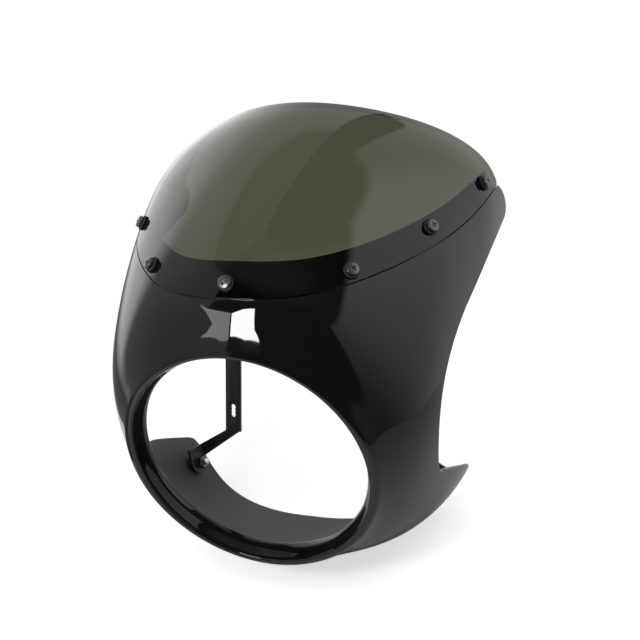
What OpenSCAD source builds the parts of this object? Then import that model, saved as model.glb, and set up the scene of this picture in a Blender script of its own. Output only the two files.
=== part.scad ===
// Headlight cowl with a bolted bubble screen, for a round motorcycle lamp.
// Millimetres. X is across, the front faces -Y, Z is up. The pieces are drawn
// from the centre of the opening's front edge and moved to the lamp seat's centre.

/* [Lamp opening] */
// Diameter of the round seat that the lamp stands in
lamp_seat_d = 178; // [150:1:212]
// Flare of the opening on each side, from the seat to its front edge
opening_flare = 4; // [3:0.5:6]
// Depth of the lip behind the front edge
lip_depth = 14.5; // [10:0.5:20]
// Width from the seat to where the skin starts beside the rolled edge
rolled_edge_w = 9.5; // [8:0.5:13]

/* [Cowl form] */
// Depth of the skin from the opening to its last section
form_reach = 258; // [230:1:290]
// Half the width of the widest section
half_breadth = 152; // [135:1:170]
// Height of the crown above the lamp axis at the last section
crown_height = 200.5; // [180:1:220]
// Depth of the keel below the lamp axis at the last section
keel_depth = 144.5; // [125:1:160]
// Height of the widest level above the lamp axis at the last section
breadth_level = 69; // [55:1:80]
// Thickness of the moulded wall
cowl_wall = 3; // [2.5:0.1:3.6]

/* [Screen] */
// Thickness of the screen
screen_t = 3; // [2:0.1:4]
// Gap between the screen and the step in the cowl
seam_gap = 0.6; // [0.3:0.1:1]
// Gap between the screen and the flange behind it
flange_gap = 0.1; // [0.05:0.05:0.3]
// Width of the flange above the seam at the nose
flange_nose_w = 29.5; // [24:0.5:34]
// Width of the flange above the seam at the rear corners
flange_tail_w = 17; // [14:0.5:20]

/* [Fasteners] */
// Number of fasteners on each side of the one at the nose
side_screws = 3; // [3:1:3]
// Diameter of the screw shank
screw_d = 5; // [4:0.5:5]
// Diameter of the screw's pan head
head_d = 9.6; // [8.5:0.1:11]
// Height of the pan head
head_h = 3.4; // [2.6:0.1:4]
// Diameter of the ribbed rubber washer
washer_d = 12.4; // [11:0.1:14]
// Thickness of the rubber washer
washer_t = 2.4; // [1.6:0.1:3]
// Width of the nut across its flats
nut_w = 8; // [7.5:0.1:9]
// Height of the nut
nut_h = 4; // [3:0.1:5]

/* [Brackets] */
// Width of the steel strip
strip_w = 15; // [13:0.5:17]
// Thickness of the steel strip
strip_t = 2.5; // [2:0.1:3]
// Width of the bolt slot in the upright leg
slot_w = 5.2; // [4.2:0.1:6.5]
// Length of the bolt slot over its round ends
slot_l = 12; // [9:0.5:15]
// Diameter of the strip's round end
tab_d = 20; // [18:0.5:21]
// Diameter of the moulded boss under the round end
boss_d = 14; // [12:0.5:15]
// Height of the boss above the inner wall
boss_h = 6.5; // [6:0.5:8]
// Diameter of the stud in the boss
stud_d = 6; // [5:0.5:6]
// Length of the stud above the tab
stud_rise = 9; // [8:0.5:10]

/* [Hidden] */

overrun = 2;
ring_fn = 48;
rim_r = lamp_seat_d / 2 + rolled_edge_w;

// Guide lines of the form, each a smooth curve through the sections, as shares
// of its named size. The first section is the round rim itself.
depth_shares = [0, 0.12, 0.09, 0.60, 0.64, 1];
breadth_shares = [0.04, 0.45, 0.79, 0.94, 1, 1];
crown_shares = [0, 0.53, 0.66, 0.94, 1.15, 1];
keel_shares = [0, 0.15, 0.55, 0.93, 1.08, 1];
level_shares = [0, 0.22, 0.26, 0.49, 0.95, 1];
upper_fullness_shares = [0, -0.20, -0.24, -0.08, 0.05, -0.22];
lower_fullness_shares = [0, 0.20, 0.38, 0.58, 0.56, 0.37];

// A Bezier curve of any order through the given control values.
function choose(n, k) = k == 0 ? 1 : choose(n, k - 1) * (n - k + 1) / k;
function dot_sum(v, w, i = 0) = i == len(v) ? v[0] * 0 : v[i] * w[i] + dot_sum(v, w, i + 1);
function weights(n, t) = [for (i = [0:n]) choose(n, i) * pow(t, i) * pow(1 - t, n - i)];
function along(values, t) = dot_sum(values, weights(len(values) - 1, t));

// The section at t: depth, half width, crown, keel, widest level and fullness.
function section(t) =
    let (w = weights(len(depth_shares) - 1, t))
    [form_reach * dot_sum(depth_shares, w),
     rim_r + (half_breadth - rim_r) * dot_sum(breadth_shares, w),
     rim_r + (crown_height - rim_r) * dot_sum(crown_shares, w),
     rim_r + (keel_depth - rim_r) * dot_sum(keel_shares, w),
     breadth_level * dot_sum(level_shares, w),
     dot_sum(upper_fullness_shares, w),
     dot_sum(lower_fullness_shares, w)];

// A point of a section at angle a: 0 is the right flank, 90 the crown.
function on_section(s, a) =
    let (upper = s[2] - s[4], lower = s[3] + s[4],
         fullness = (s[5] + s[6]) / 2 + (s[5] - s[6]) / 2 * sin(a),
         rise = (upper + lower) / 2 + (upper - lower) / 2 * sin(a))
    [s[1] * cos(a) * (1 + fullness * pow(sin(a), 2)),
     s[0],
     s[4] + rise * sin(a) * (1 + fullness * pow(cos(a), 2))];

function unit(v) = v / norm(v);
step_t = 0.004;
step_a = 0.5;
// The outward direction of the skin at section t and angle a.
function outward(t, a) =
    let (t0 = max(0, t - step_t), t1 = min(1, t + step_t),
         across = on_section(section(t), a + step_a) - on_section(section(t), a - step_a),
         back = on_section(section(t1), a) - on_section(section(t0), a))
    unit(cross(back, across));
// The skin at a distance under the outer surface.
function skin(t, a, inset) = on_section(section(t), a) - inset * outward(t, a);

// Finds the section at a depth, and the angle at a height, by halving.
halvings = 22;
function section_at(y, low = 0, high = 1, n = halvings) =
    let (mid = (low + high) / 2)
    n == 0 ? mid
    : form_reach * along(depth_shares, mid) < y ? section_at(y, mid, high, n - 1)
    : section_at(y, low, mid, n - 1);
function angle_at(s, z, low = -90, high = 90, n = halvings) =
    let (mid = (low + high) / 2)
    n == 0 ? mid
    : on_section(s, mid)[2] < z ? angle_at(s, z, mid, high, n - 1)
    : angle_at(s, z, low, mid, n - 1);
// A point of the side view, as its section and angle.
function placed(yz) = let (t = section_at(yz[0])) [t, angle_at(section(t), yz[1])];
// Slides a point of the skin by a small way: the way is split into a change of
// section and a change of angle.
function slid(spot, way) =
    let (here = skin(spot[0], spot[1], 0),
         by_t = (skin(spot[0] + step_t, spot[1], 0) - here) / step_t,
         by_a = (skin(spot[0], spot[1] + step_a, 0) - here) / step_a,
         tt = by_t * by_t, aa = by_a * by_a, ta = by_t * by_a,
         span = tt * aa - ta * ta)
    spot + [(way * by_t * aa - way * by_a * ta) / span, (way * by_a * tt - way * by_t * ta) / span];
function slid_on(spot, way, n) = n == 0 ? spot : slid_on(slid(spot, way), way, n - 1);

// Side view of the seam, from the nose to the rear corner of the screen.
seam_depth_shares = [0.070, 0.23, 0.66, 0.961];
seam_height_shares = [0.645, 0.590, 0.632, 0.566];
function seam(s) = [form_reach * along(seam_depth_shares, s),
                    crown_height * along(seam_height_shares, s)];
// Side view of the rear edge: the tail below the corner, the concave edge
// under the wing, the waist, the notch and the top of the fin.
tail_depth_shares = [0.961, 1.018, 1.018, 0.93];
tail_height_shares = [0.566, 0.52, 0.42, 0.430];
wing_depth_shares = [0.93, 0.44, 0.23, 0.212];
wing_height_shares = [0.430, 0.430, 0.28, 0.01];
waist_depth_shares = [0.212, 0.206, 0.225, 0.262];
waist_drop_shares = [-0.014, 0.16, 0.29, 0.305];
fin_depth_shares = [0.262, 0.29, 0.42, 0.532];
fin_drop_shares = [0.305, 0.325, 0.50, 0.644];
// Plan of the lower edge from a fin's tip to the middle of the keel.
keel_edge_shares = [0.532, 0.56, 0.38, 0.325, 0.335];

function tail(s) = [form_reach * along(tail_depth_shares, s),
                    crown_height * along(tail_height_shares, s)];
function wing(s) = [form_reach * along(wing_depth_shares, s),
                    crown_height * along(wing_height_shares, s)];
function waist(s) = [form_reach * along(waist_depth_shares, s),
                     -keel_depth * along(waist_drop_shares, s)];
function fin(s) = [form_reach * along(fin_depth_shares, s),
                   -keel_depth * along(fin_drop_shares, s)];
fin_tip = placed(fin(1));
// The lower edge runs forward from the fin's tip to the middle of the keel.
function keel_edge(s) =
    [section_at(form_reach * along(keel_edge_shares, s)), blend(fin_tip[1], -90, s)];

// Columns of the right half of the cowl: where each starts on the rim and
// where it ends on the seam or on the rear edge.
seam_columns = 14;
tail_columns = 4;
wing_columns = 9;
waist_columns = 5;
fin_columns = 4;
keel_columns = 9;
corner_angle = 28;
tail_angle = 23;
waist_angle = 2;
notch_angle = -24;
fin_angle = -38;
function blend(a, b, s) = a + (b - a) * s;
right_columns = concat(
    [for (i = [0:seam_columns - 1]) let (s = i / seam_columns)
        [blend(90, corner_angle, s), seam_spot(s), 1]],
    [for (i = [0:tail_columns - 1]) let (s = i / tail_columns)
        [blend(corner_angle, tail_angle, s), placed(tail(s)), max(0, 1 - 2 * s)]],
    [for (i = [0:wing_columns - 1]) let (s = i / wing_columns)
        [blend(tail_angle, waist_angle, s), placed(wing(s)), 0]],
    [for (i = [0:waist_columns - 1]) let (s = i / waist_columns)
        [blend(waist_angle, notch_angle, s), placed(waist(s)), 0]],
    [for (i = [0:fin_columns - 1]) let (s = i / fin_columns)
        [blend(notch_angle, fin_angle, s), placed(fin(s)), 0]],
    [for (i = [0:keel_columns]) let (s = i / keel_columns)
        [blend(fin_angle, -90, s), keel_edge(s), 0]]);
function mirrored(c) = [180 - c[0], [c[1][0], 180 - c[1][1]], c[2]];
cowl_columns = concat(right_columns,
    [for (i = [len(right_columns) - 2:-1:1]) mirrored(right_columns[i])]);

// Rows of a column, closer together near the nose and near the edge.
cowl_rows = 12;
row_spread_share = 0.35;
function row_share(i) = let (s = i / cowl_rows) s * (1 + row_spread_share * (1 - s));
step_depth = screen_t + flange_gap;
joggle_lap_share = 0.9;
joggle_t = step_depth + cowl_wall * joggle_lap_share;
joggle_rows_share = 0.28;
// A smooth step from 0 to 1.
function eased(rise) = rise * rise * (3 - 2 * rise);
function inner_inset(column, s) =
    let (rise = max(0, (s - 1 + joggle_rows_share) / joggle_rows_share))
    cowl_wall + (joggle_t - cowl_wall) * column[2] * eased(rise);

// The rolled front edge: a rounded bead that turns into the lamp's lip. Its
// two control points lie ahead of its ends by shares of its width.
bead_points = 5;
bead_skin_share = 0.935;
bead_opening_share = 0.385;
lip_front_r = lamp_seat_d / 2 + opening_flare;
lip_allowance_share = 1 / 3;
lip_rear_r = lamp_seat_d / 2 - cowl_wall * lip_allowance_share;
lip_radius_shares = [0, 0.55, 1, 1];
lip_depth_shares = [0, 0.4, 0.8, 1];
lip_root_wall_share = 0.2;
lip_root_depth_share = 0.45;
function at_angle(r, y, a) = [r * cos(a), y, r * sin(a)];
function bead(a) =
    let (from = skin(0, a, 0), to = at_angle(lip_front_r, 0, a), width = norm(from - to))
    [for (i = [1:bead_points]) let (s = i / (bead_points + 1))
        along([from, from + [0, outward(0, a)[1] * width * bead_skin_share, 0],
               to - [0, width * bead_opening_share, 0], to], s)];
function lip(a) = concat(
    [for (i = [0:len(lip_depth_shares) - 1])
        at_angle(blend(lip_front_r, lip_rear_r, lip_radius_shares[i]), lip_depth * lip_depth_shares[i], a)],
    [at_angle(lip_rear_r + cowl_wall, lip_depth, a),
     at_angle(lip_front_r + cowl_wall * lip_root_wall_share, lip_depth * lip_root_depth_share, a)]);

lip_joint_row_share = 0.4;
function cowl_loop(column) =
    let (a = column[0], end = column[1])
    concat([for (i = [0:cowl_rows]) let (s = row_share(i)) skin(end[0] * s, blend(a, end[1], s), 0)],
           [for (i = [cowl_rows:-1:1]) let (s = row_share(i))
               skin(end[0] * s, blend(a, end[1], s), inner_inset(column, s))],
           [let (s = row_share(lip_joint_row_share)) skin(end[0] * s, blend(a, end[1], s), cowl_wall)],
           [for (p = [len(lip(a)) - 1:-1:0]) lip(a)[p]],
           [for (p = [bead_points - 1:-1:0]) bead(a)[p]]);

// Closes a run of equal loops into a solid, joined end to end or capped.
function loop_faces(n, k, wrap) =
    [for (i = [0:(wrap ? n - 1 : n - 2)]) for (j = [0:k - 1])
        let (i1 = (i + 1) % n, j1 = (j + 1) % k)
        for (f = [[i * k + j, i * k + j1, i1 * k + j1], [i * k + j, i1 * k + j1, i1 * k + j]]) f];
function cap_faces(first, k, flip) =
    [for (j = [0:k / 2 - 2])
        for (f = [[first + j, first + k - 2 - j, first + j + 1],
                  [first + j, first + k - 1 - j, first + k - 2 - j]])
            flip ? [f[0], f[2], f[1]] : f];
module ring_of_loops(loops) {
    k = len(loops[0]);
    polyhedron([for (l = loops) each l], loop_faces(len(loops), k, true), convexity = 8);
}
module run_of_loops(loops) {
    k = len(loops[0]);
    n = len(loops);
    polyhedron([for (l = loops) each l],
        concat(loop_faces(n, k, false), cap_faces(0, k, false), cap_faces((n - 1) * k, k, true)),
        convexity = 8);
}

// A patch of skin between two insets, from a lower to an upper edge.
patch_columns = 17;
function patch_loop(low, high, rows, outer, inner) =
    let (points = [for (i = [0:rows]) blend(low, high, i / rows)])
    concat([for (p = points) skin(p[0], p[1], outer)],
           [for (i = [rows:-1:0]) skin(points[i][0], points[i][1], inner)]);
// Both edges are given for the right side, with s from 0 at the middle.
function whole_width(edge_points) =
    concat([for (i = [len(edge_points) - 1:-1:1]) [edge_points[i][0], 180 - edge_points[i][1]]],
           edge_points);

function seam_spot(s) = s <= 0 ? [section_at(seam(0)[0]), 90] : placed(seam(s));
function seam_point(s) = let (spot = seam_spot(s)) skin(spot[0], spot[1], 0);
// A place on the skin at a distance across the seam.
slides = 4;
step_s = 0.01;
function above_seam(s, rise) =
    let (spot = seam_spot(s),
         run = s <= 0 ? [1, 0, 0] : unit(seam_point(min(1, s + step_s)) - seam_point(max(0, s - step_s))))
    slid_on(spot, cross(outward(spot[0], spot[1]), run) * rise / slides, slides);
// Side view of the screen's rear edge, from its top down to the rear corner.
screen_edge_depth_shares = [0.787, 0.872, 1.04, 0.961];
screen_edge_height_shares = [1, 0.889, 0.723, 0.563];
screen_top = section_at(form_reach * screen_edge_depth_shares[0]);
function screen_edge(s) =
    s == 0 ? [screen_top, 90]
    : placed([form_reach * along(screen_edge_depth_shares, s),
              section(screen_top)[2] * along(screen_edge_height_shares, s)]);
last_share = 0.985;
column_spread = 1.7;
screen_rows = 11;
screen_low = whole_width([for (i = [0:patch_columns]) above_seam(i / patch_columns * last_share, seam_gap)]);
screen_high = whole_width([for (i = [0:patch_columns]) let (s = i / patch_columns)
    screen_edge(pow(s, column_spread) * last_share)]);

flange_rows = 4;
flange_columns = 14;
flange_root_share = 1.2;
flange_root = cowl_wall * flange_root_share;
flange_last_share = 0.975;
function flange_w(s) = blend(flange_nose_w, flange_tail_w, s);
flange_low = whole_width([for (i = [0:flange_columns]) let (s = i / flange_columns * flange_last_share)
    above_seam(s, -flange_root)]);
flange_high = whole_width([for (i = [0:flange_columns]) let (s = i / flange_columns * flange_last_share)
    above_seam(s, flange_w(s))]);

// Places of the fasteners along the seam, and how far above it they sit.
screw_seam_shares = [0, 0.236, 0.518, 0.856];
screw_rise = 12;
screw_rise_shares = [0.93, 0.74, 1.12, 1.08];
function screw_spot(i) =
    let (s = screw_seam_shares[abs(i)], spot = above_seam(s, screw_rise * screw_rise_shares[abs(i)]))
    [spot[0], i < 0 ? 180 - spot[1] : spot[1]];

// Turns a child from +Z to a direction and moves it to a point.
module aimed(point, direction) {
    translate(point)
        rotate([0, acos(direction[2]), atan2(direction[1], direction[0])])
            children();
}
module at_spot(spot, inset) {
    aimed(skin(spot[0], spot[1], inset), outward(spot[0], spot[1])) children();
}

hole_gap = 0.4;
grip = step_depth + cowl_wall;
module screen_holes() {
    for (i = [-side_screws:side_screws])
        at_spot(screw_spot(i), grip + overrun)
            cylinder(d = screw_d + hole_gap * 2, h = grip + overrun * 2, $fn = ring_fn);
}

// Bosses for the two brackets, on the inside of the lower flanks.
mount_depth_share = 0.428;
mount_drop_share = 0.715;
mount_spot = placed([form_reach * mount_depth_share, -keel_depth * mount_drop_share]);
mount_base = skin(mount_spot[0], mount_spot[1], cowl_wall);
mount_axis = unit([-0.90, -0.15, 0.41]);
tab_across = unit(cross(mount_axis, [0, 0, 1]));
tab_up = cross(tab_across, mount_axis);
function mount_point(lift, across, up) =
    mount_base + mount_axis * lift + tab_across * across + tab_up * up;
module at_mount(lift) {
    aimed(mount_point(lift, 0, 0), mount_axis) children();
}
root_share = 0.5;
module mount_boss() {
    at_spot(mount_spot, cowl_wall * 2) cylinder(d = boss_d, h = cowl_wall * (2 - root_share), $fn = ring_fn);
    at_mount(0) cylinder(d = boss_d - cowl_wall, h = boss_h, $fn = ring_fn);
}
module stud_hole() {
    at_mount(0) cylinder(d = stud_d, h = boss_h + overrun, $fn = ring_fn);
}

module cowl_shell() {
    color([0.03, 0.03, 0.03])
    difference() {
        union() {
            ring_of_loops([for (c = cowl_columns) cowl_loop(c)]);
            run_of_loops([for (i = [0:len(flange_low) - 1])
                patch_loop(flange_low[i], flange_high[i], flange_rows, step_depth, step_depth + cowl_wall)]);
            mount_boss();
            mirror([1, 0, 0]) mount_boss();
        }
        translate([0, -overrun, 0]) rotate([-90, 0, 0])
            cylinder(d = lamp_seat_d, h = lip_depth + overrun * 2, $fn = ring_fn * 2);
        screen_holes();
        stud_hole();
        mirror([1, 0, 0]) stud_hole();
    }
}

module windscreen() {
    color([0.29, 0.29, 0.23, 0.6])
    difference() {
        run_of_loops([for (i = [0:len(screen_low) - 1])
            patch_loop(screen_low[i], screen_high[i], screen_rows, 0, screen_t)]);
        screen_holes();
    }
}

// The screw ends beyond its nut. Its head's sizes are shares of its width and
// height: the top's width, and the cross's length, width and floor.
shank_spare_share = 0.5;
shank_l = washer_t + grip + nut_h + washer_t * shank_spare_share;
head_top_share = 0.72;
cross_l_share = 0.48;
cross_w_share = 0.1;
cross_floor_share = 0.45;
module screen_screw(i) {
    color([0.15, 0.15, 0.16])
    at_spot(screw_spot(i), -washer_t)
        union() {
            translate([0, 0, -shank_l]) cylinder(d = screw_d, h = shank_l + head_h / 2, $fn = ring_fn);
            difference() {
                cylinder(d1 = head_d, d2 = head_d * head_top_share, h = head_h, $fn = ring_fn);
                for (turn = [0, 90]) rotate([0, 0, turn])
                    translate([-head_d * cross_l_share / 2, -head_d * cross_w_share / 2,
                               head_h * cross_floor_share])
                        cube([head_d * cross_l_share, head_d * cross_w_share, head_h]);
            }
        }
}

module screen_washer(i) {
    color([0.05, 0.05, 0.05])
    at_spot(screw_spot(i), 0)
        difference() {
            cylinder(d = washer_d, h = washer_t, $fn = ring_fn);
            translate([0, 0, -overrun])
                cylinder(d = screw_d + hole_gap, h = washer_t + overrun * 2, $fn = ring_fn);
        }
}

nut_gap_share = 0.24;
module screen_nut(i) {
    color([0.2, 0.2, 0.21])
    at_spot(screw_spot(i), grip + nut_h + washer_t * nut_gap_share)
        difference() {
            cylinder(d = nut_w / cos(30), h = nut_h, $fn = 6);
            translate([0, 0, -overrun]) cylinder(d = screw_d, h = nut_h + overrun * 2, $fn = ring_fn);
        }
}

// The bracket is three flats of sheet: the tab on the boss, an oblique leg and
// an upright. Corners of the tab are shares of the strip's width.
tab_left_shares = [-0.62, 0.20];
tab_top_shares = [-0.22, 1.04];
tab_fold_top_shares = [0.90, 0.76];
tab_fold_low_shares = [0.68, 0.055];
function tab_corner(shares) =
    mount_point(boss_h + strip_t / 2, strip_w * shares[0], strip_w * shares[1]);
knee_shares = [0.516, 0.487, 0.4865];
knee = [half_breadth * knee_shares[0], form_reach * knee_shares[1], -keel_depth * knee_shares[2]];
knee_across = unit([1, 0.07, -0.08]);
upright_run = unit([0, 0.419, 0.908]);
upright_l_share = 0.5;
upright_l = keel_depth * upright_l_share;
upright_normal = unit(cross(knee_across, upright_run));
slot_rise_share = 0.124;
fold_top = tab_corner(tab_fold_top_shares);
fold_low = tab_corner(tab_fold_low_shares);
knee_out = knee + knee_across * strip_w / 2;
knee_in = knee - knee_across * strip_w / 2;

// A flat of sheet between four corners, on both sides of its middle plane.
module flat(corners) {
    side = unit(cross(corners[1] - corners[0], corners[2] - corners[0])) * strip_t / 2;
    polyhedron(concat([for (c = corners) c - side], [for (c = corners) c + side]),
        [[0, 1, 2], [0, 2, 3], [4, 6, 5], [4, 7, 6],
         [0, 4, 5], [0, 5, 1], [1, 5, 6], [1, 6, 2], [2, 6, 7], [2, 7, 3], [3, 7, 4], [3, 4, 0]],
        convexity = 2);
}
module fold(from, to) {
    aimed(from, unit(to - from)) cylinder(d = strip_t, h = norm(to - from), $fn = ring_fn);
}

module bracket_right() {
    slot_point = knee + upright_run * keel_depth * slot_rise_share;
    top = knee + upright_run * upright_l;
    difference() {
        union() {
            at_mount(boss_h) cylinder(d = tab_d, h = strip_t, $fn = ring_fn);
            flat([tab_corner(tab_left_shares), tab_corner(tab_top_shares), fold_top, fold_low]);
            fold(fold_top, fold_low);
            flat([fold_top, fold_low, knee_in, knee_out]);
            fold(knee_in, knee_out);
            flat([knee_in, knee_out, knee_out + upright_run * upright_l,
                  knee_in + upright_run * upright_l]);
            aimed(top - upright_normal * strip_t / 2, upright_normal)
                cylinder(d = strip_w, h = strip_t, $fn = ring_fn);
        }
        for (end = [-1, 0, 1])
            aimed(slot_point + upright_run * end * (slot_l - slot_w) / 2 - upright_normal * strip_t,
                  upright_normal)
                cylinder(d = slot_w, h = strip_t * 2, $fn = ring_fn);
        at_mount(boss_h - overrun)
            cylinder(d = stud_d + hole_gap, h = strip_t + overrun * 2, $fn = ring_fn);
    }
}

module mount_stud_right() {
    at_mount(0) cylinder(d = stud_d, h = boss_h + strip_t + stud_rise, $fn = ring_fn);
}
mount_washer_t_share = 0.2;
mount_washer_t = stud_d * mount_washer_t_share;
module mount_washer_right() {
    at_mount(boss_h + strip_t)
        difference() {
            cylinder(d = stud_d * 2, h = mount_washer_t, $fn = ring_fn);
            translate([0, 0, -overrun])
                cylinder(d = stud_d + hole_gap, h = mount_washer_t + overrun * 2, $fn = ring_fn);
        }
}
mount_nut_w_share = 1.67;
mount_nut_h_share = 0.8;
module mount_nut_right() {
    at_mount(boss_h + strip_t + mount_washer_t)
        difference() {
            cylinder(d = stud_d * mount_nut_w_share / cos(30), h = stud_d * mount_nut_h_share, $fn = 6);
            translate([0, 0, -overrun])
                cylinder(d = stud_d, h = stud_d * mount_nut_h_share + overrun * 2, $fn = ring_fn);
        }
}

// The mounts are a mirrored pair.
module on_side(side) {
    if (side == "left") mirror([1, 0, 0]) children();
    else children();
}
module bracket(side) color([0.06, 0.06, 0.06]) on_side(side) bracket_right();
module mount_stud(side) color([0.7, 0.7, 0.72]) on_side(side) mount_stud_right();
module mount_washer(side) color([0.7, 0.7, 0.72]) on_side(side) mount_washer_right();
module mount_nut(side) color([0.75, 0.75, 0.77]) on_side(side) mount_nut_right();

// The row's origin is the middle of the seat's straight wall.
seat_depth_share = 0.81;
module in_row() translate([0, -lip_depth * seat_depth_share, 0]) children();

in_row() cowl_shell();
in_row() windscreen();
for (i = [1:7]) {
    in_row() screen_screw(i - 4);
    in_row() screen_washer(i - 4);
    in_row() screen_nut(i - 4);
}
for (side = ["left", "right"]) {
    in_row() bracket(side);
    in_row() mount_stud(side);
    in_row() mount_washer(side);
    in_row() mount_nut(side);
}
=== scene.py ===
# %% [markdown]
# A cowl for a round headlight, with a smoked bubble screen bolted to its brow.
# The real cowl is one moulding of black plastic with a polished skin and a dull
# inside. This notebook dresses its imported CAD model: each step names the piece,
# says how it could be made, and why it is made the way it is here.

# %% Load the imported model
import math
import bmesh
import bpy
import numpy as np
from mathutils import Matrix, Vector


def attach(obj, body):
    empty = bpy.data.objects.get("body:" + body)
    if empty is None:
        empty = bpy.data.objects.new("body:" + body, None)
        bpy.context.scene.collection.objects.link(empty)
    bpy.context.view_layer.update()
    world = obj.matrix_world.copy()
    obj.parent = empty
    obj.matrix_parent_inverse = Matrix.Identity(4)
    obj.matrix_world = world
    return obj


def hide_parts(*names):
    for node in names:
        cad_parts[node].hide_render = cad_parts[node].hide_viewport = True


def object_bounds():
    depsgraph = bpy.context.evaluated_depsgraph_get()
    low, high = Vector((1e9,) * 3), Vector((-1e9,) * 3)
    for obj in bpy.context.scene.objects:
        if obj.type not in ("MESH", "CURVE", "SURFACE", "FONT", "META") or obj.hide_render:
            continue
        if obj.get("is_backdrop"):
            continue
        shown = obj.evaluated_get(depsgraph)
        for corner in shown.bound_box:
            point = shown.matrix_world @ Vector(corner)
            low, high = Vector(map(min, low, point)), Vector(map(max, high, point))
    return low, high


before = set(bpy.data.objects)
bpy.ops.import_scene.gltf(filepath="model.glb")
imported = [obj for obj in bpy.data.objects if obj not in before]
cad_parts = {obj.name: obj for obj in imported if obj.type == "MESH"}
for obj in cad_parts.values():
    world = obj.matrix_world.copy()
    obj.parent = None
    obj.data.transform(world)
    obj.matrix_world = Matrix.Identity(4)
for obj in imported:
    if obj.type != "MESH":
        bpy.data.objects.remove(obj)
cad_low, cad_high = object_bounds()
print("nodes in the frame:", len(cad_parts))
print("CAD box in mm:", [round(c * 1000, 1) for c in (*cad_low, *cad_high)])

# %% [markdown]
# The camera comes first, because every later choice is judged through it. It
# stands in front of the cowl, to its right and above it, and it is rolled a
# little, as the photograph's camera was. A matrix built from the three axes of
# the view says all of that at once, with no angles to add up in the right order.

# %% Camera
MM = 0.001
camera_right = Vector((0.93891, 0.31497, -0.13873))
camera_up = Vector((-0.04534, 0.51275, 0.85734))
camera_back = Vector((0.34117, -0.79868, 0.49570))
camera_eye = Vector((298.34, -533.97, 452.05)) * MM
camera = bpy.data.objects.new("camera", bpy.data.cameras.new("camera"))
bpy.context.scene.collection.objects.link(camera)
camera.data.sensor_width = 36
camera.data.lens = 56.836
axes = Matrix((camera_right, camera_up, camera_back)).transposed().to_4x4()
camera.matrix_world = Matrix.Translation(camera_eye) @ axes
bpy.context.scene.camera = camera
bpy.context.scene.view_settings.view_transform = "Standard"
print("camera at", [round(c, 3) for c in camera_eye])

# %% [markdown]
# The cowl's skin grows out of the round lamp opening into a wide oval. Each
# section across it is a soft oval of its own, and seven guide curves say how
# its depth, half width, crown, keel, widest level and fullness change from the
# opening to the rear. A sculpted mesh would have to be made smooth by eye, so
# the same rule that the CAD model follows is written out here, finely enough
# for a polished surface.

# %% The rule of the form
LAMP_SEAT_R = 89 * MM
OPENING_R = 93 * MM
RIM_R = 98.5 * MM
LIP_DEPTH = 14.5 * MM
SEAT_BACK = LIP_DEPTH * 0.81
FORM_REACH = 258 * MM
HALF_BREADTH = 152 * MM
CROWN_HEIGHT = 200.5 * MM
KEEL_DEPTH = 144.5 * MM
BREADTH_LEVEL = 69 * MM
COWL_WALL = 3 * MM
depth_shares = [0, 0.12, 0.09, 0.60, 0.64, 1]
breadth_shares = [0.04, 0.45, 0.79, 0.94, 1, 1]
crown_shares = [0, 0.53, 0.66, 0.94, 1.15, 1]
keel_shares = [0, 0.15, 0.55, 0.93, 1.08, 1]
level_shares = [0, 0.22, 0.26, 0.49, 0.95, 1]
upper_fullness_shares = [0, -0.20, -0.24, -0.08, 0.05, -0.22]
lower_fullness_shares = [0, 0.20, 0.38, 0.58, 0.56, 0.37]


def bezier(shares, s):
    n = len(shares) - 1
    return sum(math.comb(n, i) * share * s ** i * (1 - s) ** (n - i)
               for i, share in enumerate(shares))


def on_form(t, a):
    """Points of the skin at sections t, from 0 to 1, and angles a in degrees."""
    t, a = np.broadcast_arrays(np.asarray(t, float), np.radians(np.asarray(a, float)))
    sin, cos = np.sin(a), np.cos(a)
    half = RIM_R + (HALF_BREADTH - RIM_R) * bezier(breadth_shares, t)
    crown = RIM_R + (CROWN_HEIGHT - RIM_R) * bezier(crown_shares, t)
    keel = RIM_R + (KEEL_DEPTH - RIM_R) * bezier(keel_shares, t)
    level = BREADTH_LEVEL * bezier(level_shares, t)
    high, low = bezier(upper_fullness_shares, t), bezier(lower_fullness_shares, t)
    fullness = (high + low) / 2 + (high - low) / 2 * sin
    upper, lower = crown - level, keel + level
    rise = (upper + lower) / 2 + (upper - lower) / 2 * sin
    return np.stack([half * cos * (1 + fullness * sin ** 2),
                     FORM_REACH * bezier(depth_shares, t) - SEAT_BACK,
                     level + rise * sin * (1 + fullness * cos ** 2)], -1)


def outward(t, a):
    """The direction that the skin faces."""
    t, a = np.broadcast_arrays(np.asarray(t, float), np.asarray(a, float))
    across = on_form(t, a + 0.5) - on_form(t, a - 0.5)
    back = on_form(np.minimum(t + 0.004, 1), a) - on_form(np.maximum(t - 0.004, 0), a)
    out = np.cross(back, across)
    return out / np.linalg.norm(out, axis=-1, keepdims=True)


# The curved skin would bulge past the CAD model's flat facets by this much
FACET_RISE = 0.025 * MM


def skin(t, a, inset):
    """Points at a depth under the skin."""
    return on_form(t, a) - (np.asarray(inset) + FACET_RISE)[..., None] * outward(t, a)


print("half width at the rear in mm:", round(float(on_form(1, 0)[0]) * 1000, 1))

# %% [markdown]
# The seam, the screen's rear edge, the wings, the waist and the fins are all
# drawn in side view, like lines on a pattern. A pattern line is laid on the
# form by halving: the section is found from the depth, and then the angle from
# the height. The cowl needs its edges where the CAD model has them, so the
# same curves are used.

# %% Pattern lines laid on the form
def halve(low, high, is_low):
    """Halves a range thirty times, towards where is_low turns false."""
    for _ in range(30):
        middle = (low + high) / 2
        below = is_low(middle)
        low, high = np.where(below, middle, low), np.where(below, high, middle)
    return (low + high) / 2


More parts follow.
